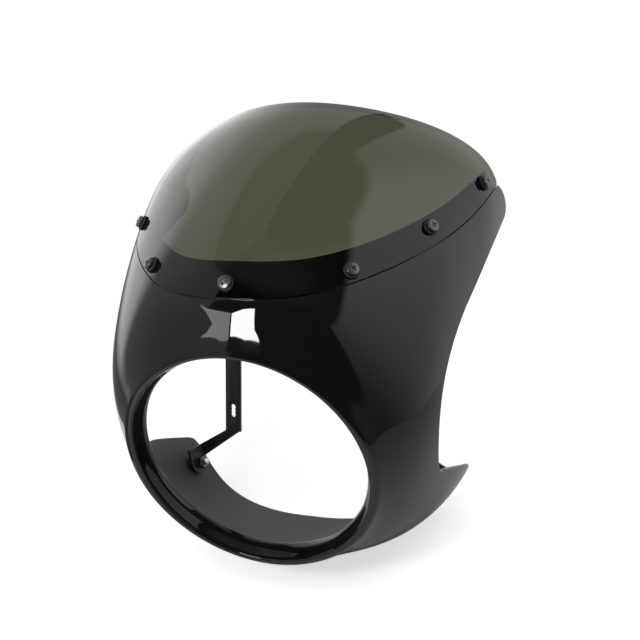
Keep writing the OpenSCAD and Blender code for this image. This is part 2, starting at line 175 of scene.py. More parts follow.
def placed(depth, height):
    """The section and angle of points of the side view."""
    depth, height = np.broadcast_arrays(np.asarray(depth, float), np.asarray(height, float))
    t = halve(np.zeros(depth.shape), np.ones(depth.shape),
              lambda m: FORM_REACH * bezier(depth_shares, m) < depth)
    a = halve(np.full(depth.shape, -90.0), np.full(depth.shape, 90.0),
              lambda m: on_form(t, m)[..., 2] < height)
    return t, a


def pattern_line(depths, heights, scale):
    """A curve of the side view, as a function of s from 0 to 1."""
    return lambda s: (FORM_REACH * bezier(depths, s), scale * bezier(heights, s))


seam = pattern_line([0.070, 0.23, 0.66, 0.961], [0.645, 0.590, 0.632, 0.566], CROWN_HEIGHT)
tail = pattern_line([0.961, 1.018, 1.018, 0.93], [0.566, 0.52, 0.42, 0.430], CROWN_HEIGHT)
wing = pattern_line([0.93, 0.44, 0.23, 0.212], [0.430, 0.430, 0.28, 0.01], CROWN_HEIGHT)
waist = pattern_line([0.212, 0.206, 0.225, 0.262], [-0.014, 0.16, 0.29, 0.305], -KEEL_DEPTH)
fin = pattern_line([0.262, 0.29, 0.42, 0.532], [0.305, 0.325, 0.50, 0.644], -KEEL_DEPTH)
keel_edge_shares = [0.532, 0.56, 0.38, 0.325, 0.335]
fin_tip_t, fin_tip_a = placed(*fin(1.0))


def keel_edge(s):
    t, _ = placed(FORM_REACH * bezier(keel_edge_shares, s), 0)
    return t, fin_tip_a + (-90 - fin_tip_a) * s


print("fin tip at section", round(float(fin_tip_t), 3), "angle", round(float(fin_tip_a), 1))

# %% [markdown]
# The moulding is a ring of loops. Each loop leaves the rolled front edge, runs
# back under the skin's outer face, rounds the rear edge, comes forward along
# the inner face and closes through the lip that the lamp stands in. A solid
# made by thickening a sheet would have the same wall everywhere, but the real
# one drops inwards under the screen, so the wall is given loop by loop.

# %% Columns of the cowl
SEAM_N, TAIL_N, WING_N, WAIST_N, FIN_N, KEEL_N = 110, 34, 64, 34, 34, 62


def flat_wall(s):
    return 0 * s


def line_of(function, count, start, end, joggle=flat_wall):
    """Columns whose rim angle runs from start to end, ending on a pattern line."""
    s = np.arange(count) / count
    t, a = function(s)
    return np.stack([start + (end - start) * s, t, a, joggle(s)], -1)


def laid(line):
    return lambda s: placed(*line(s))


right_half = np.concatenate([
    line_of(laid(seam), SEAM_N, 90, 28, lambda s: 1 + 0 * s),
    line_of(laid(tail), TAIL_N, 28, 23, lambda s: np.maximum(0, 1 - 2 * s)),
    line_of(laid(wing), WING_N, 23, 2),
    line_of(laid(waist), WAIST_N, 2, -24),
    line_of(laid(fin), FIN_N, -24, -38),
    line_of(keel_edge, KEEL_N, -38, -90),
    [[-90, float(placed(FORM_REACH * keel_edge_shares[-1], 0)[0]), -90, 0]]])


def soften(columns, at, reach, turns):
    """Rounds the corner of the rear edge at one column."""
    ends = columns[at - reach - 1:at + reach + 2, 1:3]
    for _ in range(turns):
        ends[1:-1] = (ends[:-2] + 2 * ends[1:-1] + ends[2:]) / 4


fin_start = SEAM_N + TAIL_N + WING_N + WAIST_N
soften(right_half, fin_start, 5, 10)
soften(right_half, fin_start + FIN_N, 3, 7)
left_half = right_half[-2:0:-1].copy()
left_half[:, [0, 2]] = 180 - left_half[:, [0, 2]]
cowl_columns = np.concatenate([right_half, left_half])
print("columns round the cowl:", len(cowl_columns))

# %% [markdown]
# A moulded edge is never sharp: a radius of half a millimetre catches a thin
# line of light, and it is this line that shows where the black skin ends. The
# rounding is a quarter turn, given as how far each point stands back from the
# edge and how far it lies under the skin.

# %% Loops of the cowl
EDGE_R = 0.7 * MM
quarter = np.radians(np.linspace(0, 90, 6))
stand_back, sink = EDGE_R * (1 - np.sin(quarter)), EDGE_R * (1 - np.cos(quarter))
STEP_DEPTH = 3.1 * MM
JOGGLE_T = STEP_DEPTH + COWL_WALL * 0.9


def cowl_loop(column):
    """Out along the skin, round the edge and in along the wall, for one column."""
    rim_a, end_t, end_a, joggle = column
    rows = np.linspace(0, 1, 46)
    rows = rows * (1.35 - 0.35 * rows)
    path = on_form(end_t * rows, rim_a + (end_a - rim_a) * rows)
    length = np.linalg.norm(np.diff(path, axis=0), axis=-1).sum()
    # The wall steps inwards over the last part of the way, where the screen lies
    rise = np.clip((rows - 0.72) / 0.28, 0, 1)
    wall = COWL_WALL + (JOGGLE_T - COWL_WALL) * joggle * rise ** 2 * (3 - 2 * rise)
    body = rows * (1 - 2 * EDGE_R / length)
    outer_s = np.concatenate([body, 1 - stand_back / length])
    outer_inset = np.concatenate([0 * body, sink])
    # The inner wall stops five rows short of the rim, where the lip begins
    inner_s = np.concatenate([1 - stand_back[::-1] / length, body[:4:-1]])
    inner_inset = np.concatenate([wall[-1] - sink[::-1], wall[:4:-1]])
    s = np.concatenate([outer_s, inner_s])
    inset = np.concatenate([outer_inset, inner_inset])
    run = skin(end_t * s, rim_a + (end_a - rim_a) * s, inset)
    return run, len(outer_s), (path[0] - path[1]) / np.linalg.norm(path[0] - path[1])


def lip_and_bead(rim_a, start, leave):
    """From the inner wall through the lamp's lip and round the rolled edge."""
    c, s = math.cos(math.radians(rim_a)), math.sin(math.radians(rim_a))

    def ring(r, y):
        return np.array([r * c, y * MM - SEAT_BACK, r * s])

    seat, wall = LAMP_SEAT_R, LAMP_SEAT_R + 2 * MM
    back = [ring(OPENING_R + 0.8 * MM, 7.6), ring(wall + 0.9 * MM, 10.6), ring(wall, 12.6),
            ring(wall, 13.9), ring(wall - 0.3 * MM, 14.3), ring(wall - 0.8 * MM, 14.5),
            ring(seat + 0.5 * MM, 14.5), ring(seat + 0.15 * MM, 14.3), ring(seat, 13.9),
            ring(seat, 11.6), ring(seat, 9.4), ring(seat + 0.35 * MM, 7.9),
            ring(seat + 1.15 * MM, 6.0), ring(seat + 2.2 * MM, 3.9), ring(seat + 3.2 * MM, 1.8)]
    width = np.linalg.norm(start - ring(OPENING_R, 0))
    front = ring(OPENING_R, 0)
    ahead = front + np.array([0, -0.42 * width, 0])
    aside = start + leave * width * 0.5
    turn = np.linspace(0, 1, 15)[:-1, None]
    bead = ((1 - turn) ** 3 * front + 3 * turn * (1 - turn) ** 2 * ahead
            + 3 * turn ** 2 * (1 - turn) * aside + turn ** 3 * start)
    return np.concatenate([back, bead])


loops = []
for column in cowl_columns:
    run, outer_count, leave = cowl_loop(column)
    loops.append(np.concatenate([run, lip_and_bead(column[0], run[0], leave)]))
cowl_loops = np.array(loops)
print("loops and points in each:", cowl_loops.shape[:2])

# %% [markdown]
# A mesh joins each loop to the next, point by point, so every loop has the same
# number of points, spread over its own length. The faces all turn the same way,
# and the signed volume that they enclose tells whether that way is outwards.

# %% From loops to meshes
def enclosed(points, faces):
    """Six times the volume inside some faces, or less than 0 if they face inwards."""
    corners = np.array([(f[0], f[i], f[i + 1]) for f in faces for i in range(1, len(f) - 1)])
    a, b, c = points[corners[:, 0]], points[corners[:, 1]], points[corners[:, 2]]
    return np.einsum("ij,ij->i", a, np.cross(b, c)).sum()


def mesh_of(name, points, faces, finishes, finish_of_face=None):
    """A smooth piece from points and faces, turned so that its faces point out."""
    points, faces = np.asarray(points, float), [list(f) for f in faces]
    mesh = bpy.data.meshes.new(name)
    mesh.from_pydata(points.tolist(), [], faces)
    if enclosed(points, faces) < 0:
        mesh.flip_normals()
    mesh.polygons.foreach_set("use_smooth", [True] * len(faces))
    if finish_of_face is not None:
        mesh.polygons.foreach_set("material_index", finish_of_face)
    mesh.update()
    piece = bpy.data.objects.new(name, mesh)
    bpy.context.scene.collection.objects.link(piece)
    for finish in finishes:
        mesh.materials.append(finish)
    return piece


def ring_faces(n, k, closed):
    """Faces between n loops of k points, the last joined to the first if closed."""
    i = np.arange(n if closed else n - 1)[:, None]
    j = np.arange(k)[None, :]
    i1, j1 = (i + 1) % n, (j + 1) % k
    quads = np.stack([i * k + j, i * k + j1, i1 * k + j1, i1 * k + j], -1)
    return quads.reshape(-1, 4).tolist()


# %% [markdown]
# A finish is a small tree of shader nodes. The helper below adds a node, sets
# its plain values and links its sources in one call, so that each finish reads
# as a short recipe. Patterns use Object coordinates, which are metres here, so
# a grain has its real size on every piece.

# %% Helper for node trees
class Recipe:
    """Adds nodes to a tree: a socket given as a source is linked, a value is set."""

    def __init__(self, tree):
        self.tree = tree

    def add(self, kind, inputs=(), out=0, **settings):
        node = self.tree.nodes.new(kind)
        for name, value in settings.items():
            setattr(node, name, value)
        pairs = inputs.items() if isinstance(inputs, dict) else enumerate(inputs)
        for place, source in pairs:
            self.join(source, node.inputs[place])
        return node.outputs[out] if len(node.outputs) else node

    def join(self, source, socket):
        if isinstance(source, bpy.types.NodeSocket):
            self.tree.links.new(source, socket)
        elif source is not None:
            socket.default_value = source

    def maths(self, operation, *sources, clamp=False):
        return self.add("ShaderNodeMath", sources, operation=operation, use_clamp=clamp)

    def times(self, first, *others):
        for other in others:
            first = self.maths("MULTIPLY", first, other)
        return first

    def parts_of(self, vector):
        split = self.tree.nodes.new("ShaderNodeSeparateXYZ")
        self.join(vector, split.inputs[0])
        return split.outputs

    def seen_through(self):
        """1 for rays from the camera and rays that pass through the screen."""
        rays = self.tree.nodes.new("ShaderNodeLightPath").outputs
        return self.maths("MAXIMUM", rays["Is Camera Ray"], rays["Is Transmission Ray"]), rays

    def ramp(self, source, low, high, to_low=0.0, to_high=1.0, smooth=True):
        names = ("Value", "From Min", "From Max", "To Min", "To Max")
        values = dict(zip(names, (source, low, high, to_low, to_high)))
        return self.add("ShaderNodeMapRange", values,
                        interpolation_type="SMOOTHSTEP" if smooth else "LINEAR")


def finish_named(name):
    """A new finish with an empty tree: its recipe and its output socket."""
    finish = bpy.data.materials.new(name)
    finish.use_nodes = True
    finish.node_tree.nodes.clear()
    recipe = Recipe(finish.node_tree)
    output = finish.node_tree.nodes.new("ShaderNodeOutputMaterial")
    return finish, recipe, output.inputs["Surface"]


def grain(recipe, scale, detail, stretch=(1, 1, 1)):
    """Noise on Object coordinates; scale is in waves a metre."""
    place = recipe.add("ShaderNodeTexCoord", out=3)
    place = recipe.add("ShaderNodeMapping", {"Vector": place, "Scale": stretch})
    return recipe.add("ShaderNodeTexNoise", {"Vector": place, "Scale": scale, "Detail": detail})


def relief(recipe, height, depth, strength):
    return recipe.add("ShaderNodeBump",
                      {"Height": height, "Distance": depth, "Strength": strength})


def tone(recipe, factor, dark, light):
    return recipe.add("ShaderNodeMix", {"Factor": factor, 6: (*dark, 1), 7: (*light, 1)},
                      out=2, data_type="RGBA")


# %% [markdown]
# The cowl is polished black plastic. It is almost all reflection: the base is
# nearly black, and what the eye reads is the studio in it. Three things keep
# it from looking like a black hole: a very faint waviness left by the mould,
# a roughness that drifts where the polish is thinner, and a haze of fine dust.

# %% Polished black of the cowl
polished_black, r, surface = finish_named("polished_black")
haze = grain(r, 9, 2)
dust = r.ramp(grain(r, 2600, 1), 0.66, 0.80)
waviness = relief(r, grain(r, 70, 1), 0.00003, 0.35)
r.join(r.add("ShaderNodeBsdfPrincipled", {
    "Base Color": tone(r, dust, (0.0045, 0.0045, 0.0047), (0.014, 0.014, 0.014)),
    "Roughness": r.ramp(haze, 0.35, 0.70, 0.01, 0.035),
    "IOR": 1.5,
    "Normal": waviness}), surface)
print("finish:", polished_black.name)

# %% [markdown]
# The inside never sees a polishing wheel. It keeps the fine grain of the mould
# and looks dark grey under the same lamps, because a rough surface sends back
# light from everywhere at once.

# %% Dull grey of the inside
moulded_grey, r, surface = finish_named("moulded_grey")
flow = grain(r, 14, 4, (1, 0.35, 1))
pores = relief(r, grain(r, 1400, 3), 0.00012, 0.5)
r.join(r.add("ShaderNodeBsdfPrincipled", {
    "Base Color": tone(r, flow, (0.046, 0.046, 0.044), (0.068, 0.068, 0.065)),
    "Roughness": r.ramp(flow, 0.3, 0.7, 0.46, 0.60),
    "IOR": 1.5,
    "Normal": pores}), surface)
print("finish:", moulded_grey.name)

# %% [markdown]
# The screen is smoked acrylic three millimetres thick. Each of its two faces
# passes the square root of its tint, so the pair passes the whole of it. Glass
# shading would bend rays through the sheet, which costs noise and shows nothing
# here; a tinted see-through shader under a mirror layer gives the same look.
# The mirror layer follows the angle of view, and it is kept off the far side
# of each face, where it would turn the sheet into a mirror.

# %% Smoked acrylic
def acrylic(name, tint, roughness):
    finish, r, surface = finish_named(name)
    clear = r.add("ShaderNodeBsdfTransparent", {"Color": (*tint, 1)})
    streak = grain(r, 11, 2)
    gloss = r.add("ShaderNodeBsdfGlossy", {
        "Color": (1, 1, 1, 1),
        "Roughness": r.ramp(streak, 0.3, 0.7, roughness, roughness + 0.03),
        "Normal": relief(r, grain(r, 45, 1), 0.00005, 0.3)})
    front = r.maths("SUBTRACT", 1.0, r.add("ShaderNodeNewGeometry", out=6))
    share = r.maths("MULTIPLY", r.add("ShaderNodeFresnel", {"IOR": 1.49}), front)
    r.join(r.add("ShaderNodeMixShader", (share, clear, gloss)), surface)
    return finish


smoked_acrylic = acrylic("smoked_acrylic", (0.262, 0.262, 0.213), 0.02)
# The edge's darker tint is painted shade for the dark line round the sheet
acrylic_edge_painted_shade = acrylic("acrylic_edge_painted_shade", (0.12, 0.12, 0.10), 0.12)
print("finishes:", smoked_acrylic.name, acrylic_edge_painted_shade.name)

# %% [markdown]
# Screws, nuts and studs are small, and small metal lives from a bright spot and
# a dark rim. The blackened screws have a worn, uneven coat; the zinc keeps a
# cloudy, slightly blue brightness; the rubber under the heads is quite dull.

# %% Metals, rubber and painted steel
def metal(name, dark, light, smooth, rough, scale):
    finish, r, surface = finish_named(name)
    cloud = grain(r, scale, 4)
    r.join(r.add("ShaderNodeBsdfPrincipled", {
        "Base Color": tone(r, cloud, dark, light),
        "Metallic": 1.0,
        "Roughness": r.ramp(cloud, 0.3, 0.7, smooth, rough),
        "Normal": relief(r, grain(r, scale * 6, 2), 0.00003, 0.4)}), surface)
    return finish


blackened_steel = metal("blackened_steel", (0.10, 0.10, 0.105), (0.24, 0.24, 0.25),
                        0.28, 0.42, 420)
bright_zinc = metal("bright_zinc", (0.62, 0.63, 0.66), (0.86, 0.86, 0.88), 0.20, 0.34, 300)
ribbed_rubber, r, surface = finish_named("ribbed_rubber")
r.join(r.add("ShaderNodeBsdfPrincipled", {
    "Base Color": tone(r, grain(r, 700, 2), (0.010, 0.010, 0.010), (0.022, 0.022, 0.022)),
    "Roughness": r.ramp(grain(r, 300, 2), 0.3, 0.7, 0.42, 0.6),
    "Normal": relief(r, grain(r, 2200, 2), 0.00004, 0.4)}), surface)
painted_steel, r, surface = finish_named("painted_steel")
r.join(r.add("ShaderNodeBsdfPrincipled", {
    "Base Color": tone(r, grain(r, 900, 3), (0.032, 0.032, 0.032), (0.052, 0.052, 0.052)),
    "Roughness": r.ramp(grain(r, 60, 2), 0.3, 0.7, 0.34, 0.5),
    "IOR": 1.5,
    "Normal": relief(r, grain(r, 1500, 2), 0.00005, 0.35)}), surface)
print("finishes:", blackened_steel.name, bright_zinc.name, ribbed_rubber.name, painted_steel.name)

# %% [markdown]
# Now the cowl can be put together. Beside the ring of loops, it has a flange
# that the screen lies on, and two bosses inside that hold the brackets. These
# are closed shapes of their own that reach into the wall, as the moulding's
# ribs do, and they are one mesh with it.

# %% Flange behind the screen
SCREEN_T = 3 * MM
SEAM_GAP = 0.6 * MM
CORNER_N = 5
SLIDES = 4


def seam_place(s):
    t, a = placed(*seam(s))
    return t, np.where(s <= 0, 90, a)


def across_seam(s, distance):
    """Places on the skin at a distance across the seam, reached in four slides."""
    s = np.atleast_1d(np.asarray(s, float))
    t, a = seam_place(s)
    ahead, behind = seam_place(np.minimum(1, s + 0.01)), seam_place(np.maximum(0, s - 0.01))
    run = on_form(*ahead) - on_form(*behind)
    run[s <= 0] = (1, 0, 0)
    run /= np.linalg.norm(run, axis=-1, keepdims=True)
    way = np.cross(outward(t, a), run) * (np.asarray(distance) / SLIDES + 0 * s)[..., None]
    for _ in range(SLIDES):
        by_t = (on_form(t + 0.004, a) - on_form(t, a)) / 0.004
        by_a = (on_form(t, a + 0.5) - on_form(t, a)) / 0.5
        tt, aa, ta = (by_t ** 2).sum(-1), (by_a ** 2).sum(-1), (by_t * by_a).sum(-1)
        wt, wa = (way * by_t).sum(-1), (way * by_a).sum(-1)
        span = tt * aa - ta * ta
        t, a = t + (wt * aa - wa * ta) / span, a + (wa * tt - wt * ta) / span
    return t, a


def whole_width(t, a):
    """Mirrors an edge that is given from the middle to the right."""
    return np.concatenate([t[:0:-1], t]), np.concatenate([180 - a[:0:-1], a])


def patch_loops(low, high, rows, outer, inner, radius):
    """Loops of a sheet between two edges, with rounded ends."""
    quarter = np.radians(np.linspace(0, 90, CORNER_N))
    back, sink = radius * (1 - np.sin(quarter)), radius * (1 - np.cos(quarter))
    loops = []
    for t0, a0, t1, a1 in zip(*low, *high):
        share = np.linspace(0, 1, 40)
        path = on_form(t0 + (t1 - t0) * share, a0 + (a1 - a0) * share)
        length = max(np.linalg.norm(np.diff(path, axis=0), axis=-1).sum(), 2.2 * radius)
        near = radius * 1.05 / length
        up = np.linspace(near, 1 - near, rows)
        half = np.concatenate([back[::-1] / length, up, 1 - back / length])
        depth = np.concatenate([sink[::-1], 0 * up, sink])
        s = np.concatenate([half, half[::-1]])
        inset = np.concatenate([outer + depth, inner - depth[::-1]])
        loops.append(skin(t0 + (t1 - t0) * s, a0 + (a1 - a0) * s, inset))
    return np.array(loops)


def run_faces(n, k):
    """Faces of a run of loops that fold flat, with both ends closed by strips."""
    faces = ring_faces(n, k, False)
    for loop, flip in ((0, False), (n - 1, True)):
        start = loop * k
        for j in range(k // 2 - 1):
            face = [start + j, start + k - 1 - j, start + k - 2 - j, start + j + 1]
            faces.append(face[::-1] if flip else face)
    return faces


s = np.linspace(0, 0.975, 90)
flange_w = (29.5 - 12.5 * s) * MM
flange_loops = patch_loops(whole_width(*across_seam(s, -1.2 * COWL_WALL)),
                           whole_width(*across_seam(s, flange_w)),
                           14, STEP_DEPTH, STEP_DEPTH + COWL_WALL, 0.7 * MM)
print("flange loops:", flange_loops.shape[:2])

# %% [markdown]
# The bosses are turned shapes: a profile of radius and height is spun round an
# axis. Spinning a profile by hand gives full control of where its ring of
# points lies, which is needed later for the hexagon of a nut, the ribs of a
# washer and the cross of a screw.

# %% Turned shapes
def turned(profile, sides, reshape=None):
    """Spins (radius, height) pairs round Z. Ends at radius 0 are closed."""
    profile = np.asarray(profile, float)
    angle = np.radians(np.arange(sides) * 360 / sides)
    closed = np.allclose(profile[0], profile[-1])
    rings = profile[:-1] if closed else profile[1:-1]
    points = np.stack([rings[:, 0] * np.cos(angle)[:, None],
                       rings[:, 0] * np.sin(angle)[:, None],
                       rings[:, 1] + 0 * angle[:, None]], -1)
    if reshape is not None:
        points = reshape(points)
    n, k = points.shape[:2]
    flat = points.reshape(-1, 3)
    if closed:
        return flat, ring_faces(n, k, True)
    i = np.arange(n)[:, None]
    j = np.arange(k - 1)[None, :]
    i1 = (i + 1) % n
    quads = np.stack([i * k + j, i * k + j + 1, i1 * k + j + 1, i1 * k + j], -1)
    faces = quads.reshape(-1, 4).tolist()
    flat = np.concatenate([flat, [[0, 0, profile[0, 1]], [0, 0, profile[-1, 1]]]])
    low, high = n * k, n * k + 1
    faces += [[low, a * k, (a + 1) % n * k] for a in range(n)]
    faces += [[high, (a + 1) % n * k + k - 1, a * k + k - 1] for a in range(n)]
    return flat, faces


def frame_of(direction):
    """Columns of a turn that takes Z to a direction."""
    direction = np.asarray(direction, float) / np.linalg.norm(direction)
    side = np.cross([0, 0, 1], direction)
    side /= np.linalg.norm(side)
    return np.stack([side, np.cross(direction, side), direction], -1)


def aimed(points, spot, direction):
    return points @ frame_of(direction).T + np.asarray(spot)


mount_t, mount_a = placed(FORM_REACH * 0.428, -KEEL_DEPTH * 0.715)
mount_base = skin(mount_t, mount_a, COWL_WALL)
mount_axis = np.array([-0.90, -0.15, 0.41])
mount_axis /= np.linalg.norm(mount_axis)
BOSS_H = 6.5 * MM
pad = [(0, -1.4), (7, -1.4), (7.7, 0.25), (7.1, 0.9), (6.7, 2.2), (6.2, 2.8), (5.6, 3.0),
       (0, 3.0)]
post = [(0, -1), (5.5, -1), (5.5, 5.7), (5.4, 6.2), (4.9, 6.5), (0, 6.5)]
bosses = []
for profile, direction in ((pad, outward(mount_t, mount_a) * -1), (post, mount_axis)):
    points, faces = turned(np.array(profile) * MM, 48)
    points = aimed(points, mount_base, direction)
    bosses.append((points, faces))
    bosses.append((points * [-1, 1, 1], [f[::-1] for f in faces]))
print("bosses stand at", [round(float(c) * 1000, 1) for c in mount_base])

# %% [markdown]
# All of it goes into one mesh. Faces whose points lie on the inner wall get the
# dull finish, and the rest is polished.

# %% Put the cowl together
n, k = cowl_loops.shape[:2]
shell_faces = ring_faces(n, k, True)
inner_from, inner_to = outer_count + 6, len(run)
shell_finish = [1 if inner_from <= f[0] % k < inner_to else 0 for f in shell_faces]
flange_faces = run_faces(*flange_loops.shape[:2])
parts = [(cowl_loops.reshape(-1, 3), shell_faces, shell_finish),
         (flange_loops.reshape(-1, 3), flange_faces, [0] * len(flange_faces))]
parts += [(p, f, [1] * len(f)) for p, f in bosses]
points, faces, finish_of_face, first = [], [], [], 0
for part_points, part_faces, part_finish in parts:
    if enclosed(part_points, part_faces) < 0:
        part_faces = [f[::-1] for f in part_faces]
    points.append(part_points)
    faces += [[i + first for i in f] for f in part_faces]
    finish_of_face += part_finish
    first += len(part_points)
cowl_body = mesh_of("cowl_body", np.concatenate(points), faces, [polished_black, moulded_grey],
                    finish_of_face)
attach(cowl_body, "root")
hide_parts("cowl_shell")
print("cowl faces:", len(faces))

# %% [markdown]
# The screen is one sheet of the same form, so that it lies flush with the cowl.
# Its top and rear are cut along a line of the side view, and its polished edges
# get a darker tint than its faces: a painted shade for the dark line that the
# bending of light through the edges draws round it.

# %% Bubble screen
SCREEN_END = 0.985
SCREEN_ROWS = 70
screen_edge_depths, screen_edge_heights = [0.787, 0.872, 1.04, 0.961], [1, 0.889, 0.723, 0.563]
screen_top = placed(FORM_REACH * screen_edge_depths[0], 0)[0]
top_height = on_form(screen_top, 90)[2]
s = np.linspace(0, 1, 120) ** 1.15 * SCREEN_END
low = across_seam(s, SEAM_GAP)
# The upper edge's points bunch towards the middle, as the lower edge's depths do
upper_s = (s / SCREEN_END) ** 1.7 * SCREEN_END
t, a = placed(FORM_REACH * bezier(screen_edge_depths, upper_s),
              top_height * bezier(screen_edge_heights, upper_s))
high = np.where(s == 0, screen_top, t), np.where(s == 0, 90, a)
screen_loops = patch_loops(whole_width(*low), whole_width(*high), SCREEN_ROWS, 0, SCREEN_T,
                           0.6 * MM)
n, k = screen_loops.shape[:2]
faces = run_faces(n, k)


def on_a_face(number, face):
    """Whether a quad lies on the sheet's outer or inner face, not on its edges."""
    row = face[0] % k
    outer = CORNER_N <= row < CORNER_N + SCREEN_ROWS - 1
    inner = k - CORNER_N - SCREEN_ROWS < row < k - CORNER_N - 1
    return number < (n - 1) * k and (outer or inner)


# Edge faces take the darker tint, which is painted shade
finish_of_face = [0 if on_a_face(i, f) else 1 for i, f in enumerate(faces)]
bubble_screen = mesh_of("bubble_screen", screen_loops.reshape(-1, 3), faces,
                        [smoked_acrylic, acrylic_edge_painted_shade], finish_of_face)
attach(bubble_screen, "root")
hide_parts("windscreen")
print("screen faces:", len(faces))

# %% [markdown]
# Seven pan-head screws hold the screen, each on a ribbed rubber washer with a
# nut inside. One screw is shaped with care, and Geometry Nodes then set a copy
# on every spot: the spots are points that carry the direction that they face.
# The tree has named inputs for the piece's width and height, so the same tree
# seats screws, washers and nuts, and a seed turns each one by its own angle.

# %% Tree that seats a piece on every spot
def seating_tree():
    tree = bpy.data.node_groups.new("seat_on_spots", "GeometryNodeTree")
    for name, kind in (("Spots", "Geometry"), ("Piece", "Object"), ("Width", "Float"),
                       ("Height", "Float"), ("Turn spread", "Float"), ("Seed", "Int"),
                       ("Finish", "Material")):
        tree.interface.new_socket(name, in_out="INPUT", socket_type="NodeSocket" + kind)
    tree.interface.new_socket("Seated", in_out="OUTPUT", socket_type="NodeSocketGeometry")
    g = Recipe(tree)
    given = tree.nodes.new("NodeGroupInput").outputs
    facing = g.add("GeometryNodeInputNamedAttribute", {"Name": "facing"}, data_type="FLOAT_VECTOR")
    aim = g.add("FunctionNodeAlignRotationToVector", {"Vector": facing}, axis="Z")
    chance = tree.nodes.new("FunctionNodeRandomValue")
    chance.data_type = "FLOAT"
    chance_inputs = {i.identifier: i for i in chance.inputs}
    g.join(given["Turn spread"], chance_inputs["Max_001"])
    g.join(given["Seed"], chance_inputs["Seed"])
    chance_out = {o.identifier: o for o in chance.outputs}["Value_001"]
    turn = g.add("ShaderNodeCombineXYZ", {"Z": chance_out})
    turned_aim = g.add("FunctionNodeRotateRotation",
                       {"Rotation": aim, "Rotate By": turn}, rotation_space="LOCAL")
    size = g.add("ShaderNodeCombineXYZ",
                 {"X": given["Width"], "Y": given["Width"], "Z": given["Height"]})
    piece = g.add("GeometryNodeObjectInfo", {"Object": given["Piece"]}, out=4)
    placed_pieces = g.add("GeometryNodeInstanceOnPoints",
                   {"Points": given["Spots"], "Instance": piece, "Rotation": turned_aim,
                    "Scale": size})
    real = g.add("GeometryNodeRealizeInstances", {"Geometry": placed_pieces})
    real = g.add("GeometryNodeSetMaterial", {"Geometry": real, "Material": given["Finish"]})
    result = tree.nodes.new("NodeGroupOutput")
    g.join(real, result.inputs["Seated"])
    return tree


seat_on_spots = seating_tree()
print("tree inputs:",
      [i.name for i in seat_on_spots.interface.items_tree if i.in_out == "INPUT"])

# %% Use the tree
def seat(name, shape, spots, facings, width, height, finish, slot, nodes, spread=0.0, seed=1):
    """Seats a shape in millimetres on spots, as one plain mesh."""
    pattern = mesh_of(name + "_pattern", *shape, [])
    mesh = bpy.data.meshes.new(name)
    mesh.from_pydata([tuple(p) for p in spots], [], [])
    direction = mesh.attributes.new("facing", "FLOAT_VECTOR", "POINT")
    direction.data.foreach_set("vector", np.asarray(facings, float).ravel())
    piece = bpy.data.objects.new(name, mesh)
    bpy.context.scene.collection.objects.link(piece)
    modifier = piece.modifiers.new("seat", "NODES")
    modifier.node_group = seat_on_spots
    values = {"Piece": pattern, "Width": width, "Height": height, "Turn spread": spread,
              "Seed": seed, "Finish": finish}
    for item in seat_on_spots.interface.items_tree:
        if item.in_out == "INPUT" and item.name in values:
            modifier[item.identifier] = values[item.name]
    evaluated = piece.evaluated_get(bpy.context.evaluated_depsgraph_get())
    plain = bpy.data.meshes.new_from_object(evaluated)
    piece.modifiers.remove(modifier)
    piece.data = plain
    plain.materials.clear()
    plain.materials.append(finish)
    plain.polygons.foreach_set("material_index", [0] * len(plain.polygons))
    bpy.data.objects.remove(pattern)
    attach(piece, "root")
    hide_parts(*nodes)
    print(name, "has", len(plain.polygons), "faces, finish", plain.materials[0].name)


# %% [markdown]
# The pan head is a dome with a rounded rim, and the cross is pressed into it.
# A boolean cut would leave ragged faces round such a small cross, so the points
# of the dome are moved down where they lie inside it. The rings are closer
# together there, to give the cross clean walls.

# %% Pan-head screw
HEAD_R, HEAD_H, SHANK_R, SHANK_L = 4.8, 3.4, 2.5, 13.7
dome_r = np.concatenate([np.linspace(0, 2.9, 30), np.linspace(3.1, 4.3, 7)])
dome = [(r, HEAD_H - 0.16 * r ** 2 / 4.3) for r in dome_r]
rim = [(4.3 + 0.5 * math.sin(math.radians(d)), 2.03 + 0.62 * math.cos(math.radians(d)))
       for d in (20, 40, 60, 80, 90)]
screw_profile = dome + rim + [(HEAD_R, 1.0), (4.74, 0.35), (4.5, 0.0), (2.6, 0.0), (SHANK_R, -0.2)]


def pressed_cross(points):
    x, y, z = points[..., 0], points[..., 1], points[..., 2]
    arm, half = 2.35, 0.46
    one = np.maximum(np.abs(x) - arm, np.abs(y) - half)
    other = np.maximum(np.abs(y) - arm, np.abs(x) - half)
    inside = np.clip((0.10 - np.minimum(one, other)) / 0.2, 0, 1)
    slope = 1 - 0.45 * np.clip(np.hypot(x, y) / arm, 0, 1)
    head = z > 0.9
    points[..., 2] = np.where(head, z - 1.7 * inside * slope, z)
    return points


def cut_thread(points, pitch, depth, low, high):
    """A thread between two heights: the radius follows a saw that climbs as it turns."""
    z, angle = points[..., 2], np.arctan2(points[..., 1], points[..., 0])
    saw = np.abs(((z / pitch - angle / (2 * math.pi)) % 1) - 0.5) * 2
    points[..., :2] *= np.where((z >= low) & (z < high), 1 - depth * saw, 1)[..., None]
    return points


shank = [(SHANK_R, -z) for z in np.linspace(0.4, 13.3, 90)] + [(2.1, -SHANK_L), (0, -SHANK_L)]
screw_shape = turned(screw_profile + shank, 72,
                     lambda points: cut_thread(pressed_cross(points), 0.8, 0.16, -SHANK_L, -6.5))
screw_share = np.array([0, 0.236, 0.518, 0.856])
screw_rise = np.array([0.93, 0.74, 1.12, 1.08]) * 12 * MM
t, a = across_seam(screw_share, screw_rise)
spots_t = np.concatenate([t[:0:-1], t])
spots_a = np.concatenate([180 - a[:0:-1], a])
facings = outward(spots_t, spots_a)
WASHER_T = 2.4 * MM
seat("screen_screws", screw_shape, skin(spots_t, spots_a, -WASHER_T), facings, MM, MM,
     blackened_steel, "dark_screw", [f"screen_screw_{i}" for i in range(1, 8)],
     spread=math.pi / 2, seed=11)

